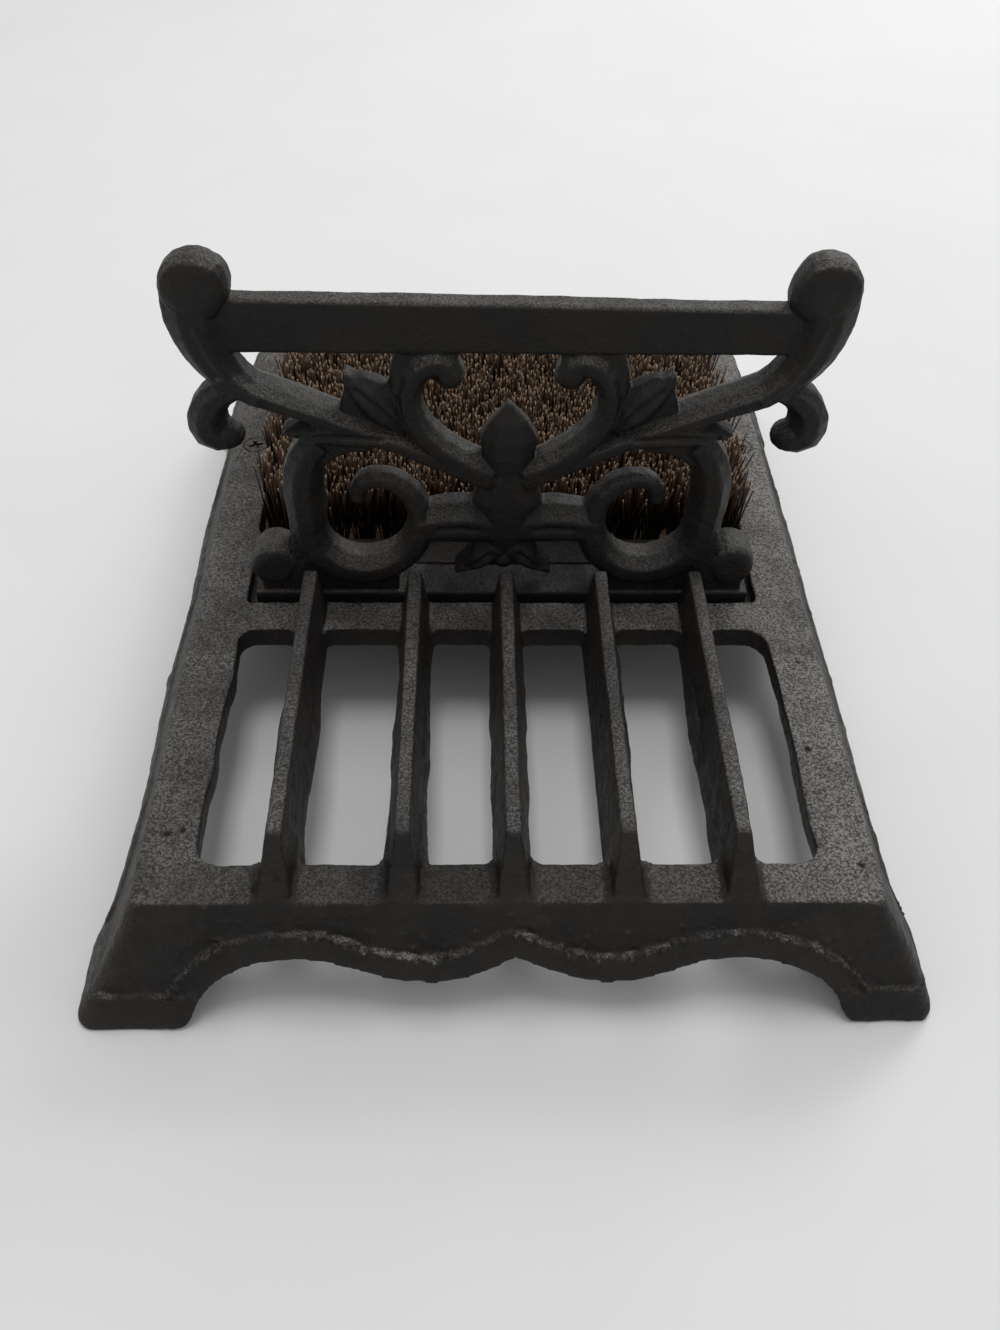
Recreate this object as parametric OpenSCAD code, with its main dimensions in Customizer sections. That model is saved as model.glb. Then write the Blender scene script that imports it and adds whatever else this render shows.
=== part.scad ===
// Free-standing cast iron boot scraper: a flared plinth with five blades, a scrolled upright and a boot brush.
// Lengths are in millimetres. The floor is z = 0, the front faces -y and x runs along the scraper bar.

/* [Plinth] */
// Width of the rim across its top
rim_width = 190; // [160:1:240]
// Depth of the rim across its top
rim_depth = 270; // [240:1:340]
// Height of the rim above the floor
base_height = 36; // [32:1:50]
// Outward lean of each side wall from rim to floor
side_flare = 16; // [8:0.5:24]
// Outward lean of the front and back walls from rim to floor
end_flare = 12.3; // [6:0.1:20]
// Thickness of the rim plate
rim_thick = 7; // [6:0.5:10]
// Thickness of the flared walls
wall_thick = 5; // [4:0.5:7]
// Corner radius of the rim in plan
rim_corner = 3.5; // [2:0.5:10]
// Width of the rim along each side
side_rail = 14.5; // [12:0.5:22]
// Width of the rim in front of the grille
front_rail = 12.5; // [9:0.5:20]
// Width of the rim behind the brush
back_rail = 12; // [9:0.5:20]
// Width of the rail that carries the upright
cross_rail = 45.5; // [40:0.5:60]
// Length of the grille opening from front to back
grille_length = 90; // [60:1:110]
// Corner radius of the two openings
opening_corner = 6; // [2:0.5:10]

/* [Aprons and feet] */
// Width of each foot along the front and back
foot_width = 26; // [18:1:34]
// Width of each foot along the sides
foot_depth = 30; // [20:1:40]
// Height of the ledge round each foot
foot_band = 10.5; // [4:0.5:12]
// How far that ledge stands out
foot_ledge = 0.6; // [0.3:0.1:2]
// Height of the arches beside the feet
arch_height = 20.2; // [16:0.1:24]
// Height of the lowest part of the hanging lobes
lobe_height = 13; // [12.5:0.5:18]
// Height of the point between two lobes
peak_height = 20.5; // [16:0.1:24]
// Distance of the front and back lobes from the middle
lobe_offset = 23; // [14:1:32]
// Distance of the side lobes from the middle
side_lobe_offset = 46; // [30:1:60]
// Width of the band along the edge of each apron
apron_band = 7; // [3:0.5:8]
// How far that band stands out
band_rise = 0.8; // [0.4:0.1:1.5]

/* [Blades] */
// Number of scraper blades
blade_count = 5; // [3:1:6]
// Spacing of the blades
blade_pitch = 29.5; // [24:0.5:31]
// Sideways offset of each blade from even spacing, left to right
blade_shift = [0, 2.6, 1, 0.4, 0];
// Height of the blades above the rim
blade_height = 13; // [8:0.5:20]
// Thickness of a blade along its top edge
blade_top = 3.8; // [2:0.1:6]
// Thickness of a blade at its root
blade_root = 10.8; // [7:0.1:14]
// Length of the sloping toe at the front of a blade
toe_run = 12; // [6:0.5:20]
// Radius of the corners between a blade and the rails
cell_corner = 3.2; // [1:0.1:5]

/* [Upright] */
// Height of the underside of the scraper bar above the rim
bar_lift = 83.5; // [76:0.5:96]
// Height of the scraper bar
bar_height = 14.5; // [10:0.5:20]
// Thickness of the scraper bar
bar_thick = 6.5; // [4:0.5:10]
// Distance of each knob from the middle
knob_offset = 84; // [76:0.5:90]
// Radius of the knobs
knob_radius = 9.4; // [8:0.1:12]
// Height of a knob's centre above the top of the bar
knob_rise = 4.2; // [0:0.1:6]
// Grid on which the scrollwork is drawn
scroll_grid = 10; // [9:0.1:11]
// Depth of the scrollwork from front to back
scroll_depth = 14; // [10:0.5:18]
// Height of the hub above the rim, where the arms and branches meet
hub_lift = 41; // [36:0.5:46]
// Distance of each volute's centre from the middle
volute_offset = 43.2; // [40:0.1:46]
// Height of each volute's centre above the rim
volute_lift = 25.2; // [23:0.1:27]
// Radius of the volutes on the middle of their band
volute_radius = 17.3; // [15:0.1:19]
// Half the width of the volute band at its widest
volute_band = 5.3; // [4:0.1:6]
// Half the width of the arms where they are slimmest
arm_band = 2.7; // [2:0.1:4]
// Half the width of the heart branches
heart_band = 3.5; // [2.5:0.1:4.5]
// Distance of the heart branches from the middle at their widest
heart_offset = 28.5; // [24:0.5:32]
// Half the width of the bud
bud_radius = 8; // [6:0.1:9]
// Length of the bud
bud_length = 21; // [16:0.5:24]
// Drop of each side curl below the underside of the bar
curl_drop = 27.5; // [24:0.5:32]
// Radius of the small scrolls at the ends of the foot
foot_scroll = 7.2; // [5:0.1:8]
// Length of the foot bar
foot_bar_length = 154; // [140:1:158]
// Height of the foot bar
foot_bar_height = 5.5; // [4.5:0.5:8]
// Depth of the seat sunk into the cross rail
seat_depth = 4; // [2:0.5:4.5]
// Gap between the foot bar and the walls of its seat
seat_gap = 3; // [1:0.5:5]

/* [Bolts and washers] */
// Diameter of the bolts that hold the upright
bolt_diameter = 5; // [4:0.5:6]
// Distance of each bolt from the middle
bolt_offset = 43.2; // [38:0.1:48]
// Length of a bolt in the foot of the upright
bolt_bite = 7; // [5:0.5:8]
// Width of a bolt head across its flats
bolt_flats = 8; // [7:0.5:10]
// Height of a bolt head
bolt_head = 3.5; // [2.5:0.1:5]
// Diameter of the washers
washer_diameter = 11; // [9:0.5:14]
// Thickness of the washers
washer_thick = 1.2; // [0.8:0.1:2]
// Diameter of the bosses under the seat
boss_diameter = 16; // [14:0.5:20]
// Height of the bosses
boss_height = 5; // [2:0.5:6]

/* [Brush] */
// Thickness of the brush block
block_thick = 12; // [9:0.5:14]
// Gap between the block and the walls of the plinth
block_gap = 0.8; // [0.3:0.1:2]
// How far the block reaches past its opening at front and back
block_lap = 5; // [3:0.5:6]
// Thickness of the slice that carries each row of bristles
slice_thick = 3; // [2:0.5:5]
// Gap between two slices
slice_gap = 0.2; // [0.1:0.1:0.5]
// Gap between the bristle field and the edge of its opening
field_gap = 1.6; // [1:0.1:4]
// Number of strands along one line of a row
line_strands = 23; // [20:1:25]
// Height of the bristles above the rim
bristle_height = 20; // [10:0.5:28]
// Radius of one strand at its root
strand_radius = 1.35; // [0.8:0.05:1.6]
// Outward lean of the outermost strands in degrees
splay = 8; // [0:0.5:10]

/* [Brush screws] */
// Diameter of the screws that hold the brush
screw_diameter = 4; // [3:0.1:5]
// Diameter of a screw head
screw_head = 8.4; // [7:0.1:10]
// Height of a screw head's cone
screw_cone = 2.6; // [2:0.1:4]
// Length of a screw under its head
screw_length = 14; // [11:0.5:15]
// Width of one arm of the cross recess
cross_width = 1.2; // [0.8:0.1:1.6]
// Depth of the cross recess
cross_depth = 1.6; // [0.8:0.1:2]
// Clearance round bolts and screws
hole_clearance = 0.3; // [0.2:0.05:0.5]

/* [Hidden] */
row_count = 10;
rim_under = base_height - rim_thick;
front_edge = -rim_depth / 2;
grille_front = front_edge + front_rail;
grille_back = grille_front + grille_length;
brush_front = grille_back + cross_rail;
brush_back = rim_depth / 2 - back_rail;
brush_middle = (brush_front + brush_back) / 2;
opening_width = rim_width - 2 * side_rail;
upright_y = grille_back + cross_rail / 2;
seat_floor = base_height - seat_depth;
seat_front = upright_y - scroll_depth / 2 - seat_gap;
boss_under = rim_under - boss_height;
bar_top = bar_lift + bar_height;
knob_lift = bar_top + knob_rise;
foot_top = seat_floor + foot_bar_height - base_height;
half_depth = scroll_depth / 2;
block_width = outer_width(rim_under) - 2 * wall_thick - 2 * block_gap;
block_under = rim_under - block_thick;
field_width = opening_width - 2 * field_gap;
field_front = brush_front + field_gap;
field_length = brush_back - brush_front - 2 * field_gap;
row_pitch = field_length / row_count;
strand_pitch = (field_width - 2 * strand_radius) / (line_strands - 1);
strand_length = rim_thick + bristle_height;
screw_offset = rim_width / 2 - side_rail / 2;
screw_top = base_height - 0.3;
iron = [0.16, 0.14, 0.13];
wood = [0.45, 0.32, 0.2];
bristle = [0.42, 0.26, 0.16];
steel = [0.5, 0.5, 0.52];
ribbon_sides = 8;
ribbon_point = 0.35;

// Outside width and depth of the plinth at one height
function outer_width(z) = rim_width + 2 * side_flare * (base_height - z) / base_height;
function outer_depth(z) = rim_depth + 2 * end_flare * (base_height - z) / base_height;

// Point at t along a curve with four guide points
function bezier(p, t) =
    pow(1 - t, 3) * p[0] + 3 * t * pow(1 - t, 2) * p[1] + 3 * t * t * (1 - t) * p[2] + t * t * t * p[3];
function curve(p, steps) = [for (i = [0 : steps]) bezier(p, i / steps)];
function from_second(list) = [for (i = [1 : len(list) - 1]) list[i]];

// Value at t between evenly spaced stations, eased from one to the next
function along(stations, t) =
    let (n = len(stations) - 1, i = min(floor(t * n), n - 1), f = t * n - i, e = (1 - cos(180 * f)) / 2)
    stations[i] * (1 - e) + stations[i + 1] * e;

// Height of the apron's edge at distance x from its middle, for one half width between the feet
function apron_edge(x, half, lobe) =
    let (crown = lobe + 0.55 * (half - lobe))
    x < lobe ? lobe_height + (peak_height - lobe_height) * (1 - sin(90 * x / lobe)) :
    x < crown ? lobe_height + (arch_height - lobe_height) * (1 - cos(180 * (x - lobe) / (crown - lobe))) / 2 :
    arch_height * sqrt(max(0, 1 - pow((x - crown) / (half - crown), 2)));

module rounded_rect(w, d, r) {
    square([w - 2 * r, d], center = true);
    square([w, d - 2 * r], center = true);
    for (x = [-1, 1], y = [-1, 1])
        translate([x * (w / 2 - r), y * (d / 2 - r)])
            circle(r, $fn = 32);
}

// Solid with the lean of the plinth between two heights, its sides moved out by grow
module plinth_solid(z0, z1, grow) {
    w = outer_width(z0) + 2 * grow;
    d = outer_depth(z0) + 2 * grow;
    translate([0, 0, z0])
        linear_extrude(height = z1 - z0, scale = [(outer_width(z1) + 2 * grow) / w, (outer_depth(z1) + 2 * grow) / d])
            rounded_rect(w, d, max(1, rim_corner + grow));
}

// Space under one pair of aprons, between the feet
module apron_outline(half, lobe) {
    steps = 18;
    points = [for (i = [-steps : steps]) let (x = half * sin(90 * i / steps)) [x, apron_edge(abs(x), half, lobe)]];
    polygon(concat([[-half, -20]], points, [[half, -20]]));
}

// Cuts that shape the scalloped aprons of all four walls, wider by band
module apron_cuts(band) {
    reach = 2 * max(outer_width(0), outer_depth(0));
    rotate([90, 0, 0])
        linear_extrude(height = reach, center = true)
            offset(r = band, $fn = 24)
                apron_outline(outer_width(0) / 2 - foot_width, lobe_offset);
    rotate([90, 0, 90])
        linear_extrude(height = reach, center = true)
            offset(r = band, $fn = 24)
                apron_outline(outer_depth(0) / 2 - foot_depth, side_lobe_offset);
}

module opening(front, back) {
    translate([0, (front + back) / 2, rim_under - 1])
        linear_extrude(height = rim_thick + 2)
            rounded_rect(opening_width, back - front, opening_corner);
}

// One blade: a tapered fin with a sloping toe, running from the front edge of the rim to the seat
module blade() {
    top = base_height + blade_height;
    intersection() {
        translate([0, seat_front, 0])
            rotate([90, 0, 0])
                linear_extrude(height = seat_front - front_edge)
                    polygon([[-blade_root / 2, rim_under], [blade_root / 2, rim_under],
                        [blade_top / 2, top], [-blade_top / 2, top]]);
        rotate([90, 0, 90])
            linear_extrude(height = 2 * blade_root, center = true)
                polygon([[front_edge + 0.4, rim_under - 1], [front_edge + 0.4, base_height],
                    [front_edge + toe_run, top + 0.01], [seat_front + 1, top + 0.01], [seat_front + 1, rim_under - 1]]);
    }
}

// Rounded corners of the cells on both sides of a blade, as deep as the rim
module cell_corners() {
    half = blade_root / 2 - 1;
    for (side = [-1, 1], end = [0, 1])
        translate([side * half, end ? grille_back : grille_front, rim_under])
            linear_extrude(height = rim_thick)
                scale([side, end ? -1 : 1])
                    difference() {
                        translate([-1, -1])
                            square(cell_corner + 1);
                        translate([cell_corner, cell_corner])
                            circle(cell_corner, $fn = 24);
                    }
}

// Plinth, rim, aprons, feet and blades in one casting
module base_casting() {
    color(iron)
        difference() {
            union() {
                difference() {
                    union() {
                        difference() {
                            plinth_solid(0, base_height, 0);
                            apron_cuts(0);
                        }
                        difference() {
                            union() {
                                plinth_solid(0, foot_band, foot_ledge);
                                intersection() {
                                    plinth_solid(0, base_height - rim_thick / 2, band_rise);
                                    apron_cuts(apron_band);
                                }
                            }
                            apron_cuts(0);
                        }
                    }
                    plinth_solid(-1, rim_under, -wall_thick);
                    opening(grille_front, grille_back);
                    opening(brush_front, brush_back);
                    translate([0, upright_y, seat_floor])
                        linear_extrude(height = seat_depth + 1)
                            rounded_rect(foot_bar_length + 2 * seat_gap, scroll_depth + 2 * seat_gap, 2);
                }
                for (i = [0 : blade_count - 1])
                    translate([(i - (blade_count - 1) / 2) * blade_pitch + (i < len(blade_shift) ? blade_shift[i] : 0), 0, 0]) {
                        blade();
                        cell_corners();
                    }
                for (x = [-1, 1])
                    translate([x * bolt_offset, upright_y, boss_under])
                        cylinder(h = boss_height + 1, d = boss_diameter, $fn = 48);
            }
            for (x = [-1, 1])
                translate([x * bolt_offset, upright_y, boss_under - 1])
                    cylinder(h = base_height, d = bolt_diameter + 2 * hole_clearance, $fn = 32);
            for (x = [-1, 1])
                translate([x * screw_offset, brush_middle, 0])
                    screw_hole();
        }
}

// Countersunk hole for one brush screw
module screw_hole() {
    hole = screw_diameter + 2 * hole_clearance;
    head = screw_head + 2 * hole_clearance;
    translate([0, 0, rim_under - 1])
        cylinder(h = rim_thick + 2, d = hole, $fn = 32);
    translate([0, 0, screw_top - screw_cone])
        cylinder(h = screw_cone, d1 = hole, d2 = head, $fn = 32);
    translate([0, 0, screw_top])
        cylinder(h = 2, d = head, $fn = 32);
}

// Sweeps a ribbon with cut corners and blunt points along a flat path; half widths and half depths run between stations
module ribbon(path, widths, depths) {
    n = len(path);
    m = ribbon_sides;
    k = 1 / cos(180 / m);
    rings = [for (i = [0 : n - 1])
        let (d = path[min(i + 1, n - 1)] - path[max(i - 1, 0)], s = [-d[1], d[0]] / norm(d), t = i / (n - 1),
            w = along(widths, t) * k, h = along(depths, t) * half_depth * k)
        for (j = [0 : m - 1])
            let (a = 360 * (j + 0.5) / m)
            [path[i][0] + s[0] * w * cos(a), h * sin(a), path[i][1] + s[1] * w * cos(a)]];
    lead = path[0] - path[1];
    tail = path[n - 1] - path[n - 2];
    start = path[0] + lead / norm(lead) * along(widths, 0) * ribbon_point;
    end = path[n - 1] + tail / norm(tail) * along(widths, 1) * ribbon_point;
    sides = [for (i = [0 : n - 2], j = [0 : m - 1])
        let (a = i * m + j, b = i * m + (j + 1) % m)
        each [[a, b, a + m], [b, b + m, a + m]]];
    first = [for (j = [0 : m - 1]) [n * m, (j + 1) % m, j]];
    last = [for (j = [0 : m - 1]) [n * m + 1, (n - 1) * m + j, (n - 1) * m + (j + 1) % m]];
    polyhedron(concat(rings, [[start[0], 0, start[1]], [end[0], 0, end[1]]]), concat(sides, first, last), convexity = 6);
}

// Rounded end of a scroll
module bulb(x, z, r, depth) {
    translate([x, 0, z])
        scale([1, depth * half_depth / r, 1])
            rotate([90, 0, 0])
                sphere(r, $fn = 10);
}

// Flat-faced disc with a rounded edge
module disc(x, z, r, depth, edge, sides) {
    h = depth * half_depth;
    translate([x, 0, z])
        rotate([90, 0, 0])
            rotate_extrude($fn = sides)
                polygon([[0, -h], [r - edge, -h], [r - 0.3 * edge, 0.3 * edge - h], [r, edge - h],
                    [r, h - edge], [r - 0.3 * edge, h - 0.3 * edge], [r - edge, h], [0, h]]);
}

// Arm that drops from the knob, turns under the bar and sweeps in to the hub
module arm() {
    g = scroll_grid;
    turn = [knob_offset - 1.2 * g, bar_lift - 1.25 * g];
    drop = curve([[knob_offset + 0.06 * g, knob_lift], [knob_offset + 0.32 * g, bar_lift + 0.55 * g],
        [knob_offset - 0.1 * g, bar_lift - 0.55 * g], turn], 8);
    sweep = curve([turn, [turn[0] - 2.1 * g, bar_lift - 2.05 * g], [3 * g, hub_lift + 1.33 * g],
        [0.5 * g, hub_lift + 0.05 * g]], 8);
    ribbon(concat(drop, from_second(sweep)),
        [0.86 * g, 0.79 * g, 0.65 * g, 0.5 * g, arm_band + 0.07 * g, arm_band, arm_band, arm_band + 0.04 * g,
            arm_band + 0.08 * g],
        [0.8, 0.84, 0.9, 0.95, 1, 1, 0.95, 0.91, 0.89]);
    disc(knob_offset, knob_lift, knob_radius, 0.88, 0.4 * g, 18);
}

// Curl that hangs outside the arm
module side_curl() {
    g = scroll_grid;
    end = [knob_offset - 0.35 * g, bar_lift - curl_drop];
    ribbon(curve([[knob_offset - 0.75 * g, bar_lift - 1.15 * g], [knob_offset + 0.4 * g, bar_lift - 1.4 * g],
        [knob_offset + 0.52 * g, end[1] - 0.2 * g], end], 8),
        g * [0.3, 0.43, 0.53, 0.56, 0.42], [0.9, 0.9, 0.85, 0.8, 0.7]);
    bulb(end[0], end[1], 0.43 * g, 0.7);
}

// Branch that forms one half of the heart and curls over under the bar
module heart_branch() {
    g = scroll_grid;
    shoulder = [heart_offset - 0.15 * g, bar_lift - 0.8 * g];
    tip = [heart_offset - 1.15 * g, bar_lift - 0.75 * g];
    rise = curve([[0.5 * g, hub_lift + 0.3 * g], [heart_offset - 0.65 * g, hub_lift + 0.9 * g],
        [heart_offset + 0.45 * g, bar_lift - 1.95 * g], shoulder], 8);
    over = curve([shoulder, [heart_offset - 0.4 * g, bar_lift - 0.3 * g],
        [heart_offset - 1.05 * g, bar_lift - 0.1 * g], tip], 5);
    ribbon(concat(rise, from_second(over)),
        [heart_band, heart_band - 0.02 * g, heart_band, heart_band + 0.07 * g], [0.9, 0.95, 0.85, 0.7]);
    bulb(tip[0], tip[1], 0.44 * g, 0.7);
    rotate([90, 0, 0])
        linear_extrude(height = bar_thick - 0.24 * g, center = true)
            polygon([[heart_offset - 1.45 * g, bar_lift + 0.1 * g], [heart_offset - 1.35 * g, bar_lift - 0.5 * g],
                [heart_offset - 0.4 * g, bar_lift - 0.65 * g], [heart_offset + 0.15 * g, bar_lift - 0.8 * g],
                [heart_offset + 0.1 * g, bar_lift + 0.1 * g]]);
}

// Stem beside the heart and the leaf that lies on the arm
module upper_leaf() {
    g = scroll_grid;
    ribbon(curve([[heart_offset - 1.05 * g, hub_lift + 0.9 * g], [heart_offset - 0.05 * g, hub_lift + 1.7 * g],
        [heart_offset + 0.7 * g, bar_lift - 1.75 * g], [heart_offset + 0.05 * g, bar_lift + 0.1 * g]], 7),
        g * [0.24, 0.26, 0.24, 0.22], [0.85, 0.8, 0.25]);
    ribbon(curve([[heart_offset + 0.15 * g, hub_lift + 1.8 * g], [heart_offset + 0.55 * g, bar_lift - 1.85 * g],
        [heart_offset + 1.05 * g, bar_lift - 1.4 * g], [heart_offset + 1.8 * g, bar_lift - 0.86 * g]], 6),
        g * [0.15, 0.48, 0.56, 0.46, 0.05], [0.6, 0.86, 0.8, 0.4]);
}

// Leaf that hangs under the arm above the volute
module lower_leaf() {
    g = scroll_grid;
    ribbon(curve([[heart_offset + 0.6 * g, hub_lift + 1.5 * g], [heart_offset + 1.75 * g, hub_lift + 1.8 * g],
        [heart_offset + 2.65 * g, hub_lift + 1.75 * g], [heart_offset + 3.6 * g, hub_lift + 1.65 * g]], 6),
        g * [0.18, 0.4, 0.46, 0.36, 0.05], [0.9, 0.98, 0.9, 0.5]);
}

// Volute: drops from the lower leaf, runs round its centre and curls in over the top
module volute() {
    g = scroll_grid;
    c = [volute_offset, volute_lift];
    r = volute_radius;
    w = volute_band;
    drop = curve([[heart_offset + 2.6 * g, hub_lift + 1.35 * g], c + r * [1.01, 1.42], c + r * [1.08, 0.8],
        c + r * [cos(8), sin(8)]], 6);
    round = [for (i = [0 : 16]) let (a = 8 - 238 * i / 16) c + r * [cos(a), sin(a)]];
    curl = curve([c + r * [cos(-230), sin(-230)], c + r * [-0.36, 0.98], c + r * [0.14, 0.98],
        c + r * [0.1, 0.46]], 6);
    ribbon(concat(drop, from_second(round), from_second(curl)),
        [w - 0.1 * g, w + 0.04 * g, w, w - 0.03 * g, w - 0.06 * g, w - 0.12 * g, w - 0.22 * g, w - 0.27 * g,
            w - 0.3 * g],
        [0.9, 0.95, 1, 1, 1, 0.92, 0.7, 0.55, 0.45]);
}

// Web that carries a volute on the foot bar, and the small scroll at the end of the foot
module volute_foot() {
    g = scroll_grid;
    outer = volute_offset + volute_radius + volute_band - 0.113 * g;
    inner = volute_offset - 0.6 * volute_radius;
    difference() {
        translate([inner, -0.43 * scroll_depth, foot_top - 0.1 * g])
            cube([outer - inner, 0.86 * scroll_depth, volute_lift - foot_top]);
        translate([volute_offset, 0, volute_lift])
            rotate([90, 0, 0])
                cylinder(h = 2 * scroll_depth, r = volute_radius, center = true, $fn = 40);
    }
    disc(foot_bar_length / 2 - foot_scroll + 0.1 * g, foot_top + foot_scroll + 0.2 * g, foot_scroll, 0.95, 0.25 * g, 14);
    translate([foot_bar_length / 2 - 1.8 * foot_scroll, -0.43 * scroll_depth, foot_top - 0.1 * g])
        cube([1.5 * foot_scroll, 0.86 * scroll_depth, foot_scroll]);
}

// Broad leaf that ties the hub to the volute, and the small leaf that drops beside the bead
module hub_leaf() {
    g = scroll_grid;
    side = volute_offset - 0.95 * volute_radius;
    ribbon(curve([[0.3 * g, hub_lift - 1.65 * g], [g, hub_lift - 1.5 * g], [1.6 * g, hub_lift - 1.45 * g],
        [side, hub_lift - 1.65 * g]], 5),
        g * [0.6, 0.7, 0.7, 0.58], [0.9, 0.97, 0.9]);
    ribbon(curve([[0.2 * g, hub_lift - 2.35 * g], [0.55 * g, hub_lift - 2.6 * g], [0.8 * g, foot_top + 0.95 * g],
        [1.45 * g, foot_top + 0.6 * g]], 5),
        g * [0.42, 0.44, 0.32, 0.05], [0.85, 0.9, 0.6]);
}

// Hub with the bud above it, and the bead at its foot
module bud() {
    g = scroll_grid;
    foot = foot_top + g;
    neck = hub_lift + 0.4 * g;
    ribbon([for (i = [0 : 14]) [0, i < 6 ? foot + (neck - foot) * i / 6 : neck + bud_length * (i - 6) / 8]],
        [0.55 * g, 0.75 * g, 1.02 * g, 0.66 * g, 0.93 * bud_radius, bud_radius, 0.66 * bud_radius, 0.06 * g],
        [0.6, 0.92, 1, 0.84, 0.9, 0.85, 0.6, 0.2]);
    translate([0, -half_depth / 2, foot_top + 1.15 * g])
        sphere(0.3 * g, $fn = 10);
}

// Second casting: foot bar, scrollwork and scraper bar
module scraper_upright() {
    color(iron)
        translate([0, upright_y, base_height])
            difference() {
                resize([0, scroll_depth, 0])
                    union() {
                        for (s = [0, 1])
                            mirror([s, 0, 0]) {
                                arm();
                                side_curl();
                                heart_branch();
                                upper_leaf();
                                lower_leaf();
                                volute();
                                volute_foot();
                                hub_leaf();
                            }
                        bud();
                        translate([0, 0, bar_lift + bar_height / 2])
                            rotate([90, 0, 90])
                                linear_extrude(height = 2 * knob_offset - 0.8 * scroll_grid, center = true)
                                    rounded_rect(bar_thick, bar_height, 0.1 * scroll_grid);
                        translate([0, 0, foot_top - foot_bar_height / 2])
                            cube([foot_bar_length, scroll_depth, foot_bar_height], center = true);
                    }
                for (x = [-1, 1])
                    translate([x * bolt_offset, 0, foot_top - foot_bar_height - 1])
                        cylinder(h = bolt_bite + 2, d = bolt_diameter + 2 * hole_clearance, $fn = 32);
            }
}

// Bolts that hold the upright from below
module upright_bolts() {
    color(steel)
        for (x = [-1, 1])
            translate([x * bolt_offset, upright_y, boss_under - washer_thick]) {
                cylinder(h = seat_floor - boss_under + washer_thick + bolt_bite, d = bolt_diameter, $fn = 32);
                translate([0, 0, -bolt_head])
                    cylinder(h = bolt_head, d = bolt_flats / cos(30), $fn = 6);
            }
}

module upright_washers() {
    color(steel)
        for (x = [-1, 1])
            translate([x * bolt_offset, upright_y, boss_under - washer_thick])
                difference() {
                    cylinder(h = washer_thick, d = washer_diameter, $fn = 48);
                    translate([0, 0, -1])
                        cylinder(h = washer_thick + 2, d = bolt_diameter + 2 * hole_clearance, $fn = 32);
                }
}

// Block under the rim, sunk in the middle for the slices that carry the bristles
module brush_block() {
    color(wood)
        difference() {
            translate([0, brush_middle, block_under + block_thick / 2])
                cube([block_width, brush_back - brush_front + 2 * block_lap, block_thick], center = true);
            translate([0, brush_middle, rim_under])
                cube([field_width + 2 * slice_gap, field_length + 2 * slice_gap, 2 * slice_thick], center = true);
            for (x = [-1, 1])
                translate([x * screw_offset, brush_middle, block_under + 1])
                    cylinder(h = block_thick, d = screw_diameter + 2 * hole_clearance, $fn = 32);
        }
}

// One strand: three sides, a little slimmer and cut flat at the tip, leaning by the given slopes
module strand(x, y, slope_x, slope_y, turn) {
    r = strand_radius;
    h = strand_length;
    foot = [for (j = [0 : 2]) [x + r * cos(turn + 120 * j), y + r * sin(turn + 120 * j), rim_under - slice_thick / 2]];
    tip = [for (j = [0 : 2])
        [x + slope_x * h + 0.7 * r * cos(turn + 120 * j), y + slope_y * h + 0.7 * r * sin(turn + 120 * j), rim_under + h]];
    polyhedron(concat(foot, tip), [[0, 1, 2], [3, 5, 4],
        [0, 3, 1], [1, 3, 4], [1, 4, 2], [2, 4, 5], [2, 5, 0], [0, 5, 3]]);
}

// One row of bristles in two staggered lines, fused to its slice of the block
module bristle_row(row) {
    middle = field_front + (row - 0.5) * row_pitch;
    color(bristle)
        union() {
            translate([0, middle, rim_under - slice_thick / 2])
                cube([field_width, row_pitch - slice_gap, slice_thick], center = true);
            for (line = [0, 1], i = [0 : line_strands - 1 - line]) {
                x = (i + line / 2 - (line_strands - 1) / 2) * strand_pitch;
                y = middle + (line - 0.5) * row_pitch / 2;
                fan_x = tan(splay) * x / (field_width / 2);
                fan_y = tan(splay) * (y - brush_middle) / (field_length / 2);
                strand(x, y, fan_x + 0.02 * sin(151 * i + 67 * row), 0.6 * fan_y + 0.02 * cos(113 * i + 89 * row),
                    47 * i + 31 * row);
            }
        }
}

// Screws through the side rails into the block
module brush_screws() {
    color(steel)
        for (x = [-1, 1])
            translate([x * screw_offset, brush_middle, screw_top])
                difference() {
                    union() {
                        translate([0, 0, -screw_cone])
                            cylinder(h = screw_cone, d1 = screw_diameter, d2 = screw_head, $fn = 32);
                        translate([0, 0, -screw_cone - screw_length])
                            cylinder(h = screw_length + 0.5, d = screw_diameter, $fn = 32);
                    }
                    for (a = [0, 90])
                        rotate([0, 0, a + 20])
                            cube([0.6 * screw_head, cross_width, 2 * cross_depth], center = true);
                }
}

base_casting();
scraper_upright();
upright_bolts();
upright_washers();
brush_block();
brush_screws();
bristle_row(1);  // bristle_row_1
bristle_row(2);  // bristle_row_2
bristle_row(3);  // bristle_row_3
bristle_row(4);  // bristle_row_4
bristle_row(5);  // bristle_row_5
bristle_row(6);  // bristle_row_6
bristle_row(7);  // bristle_row_7
bristle_row(8);  // bristle_row_8
bristle_row(9);  // bristle_row_9
bristle_row(10);  // bristle_row_10
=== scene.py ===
import math
import random

import bmesh
import bpy
from mathutils import Matrix, Vector, noise


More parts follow.
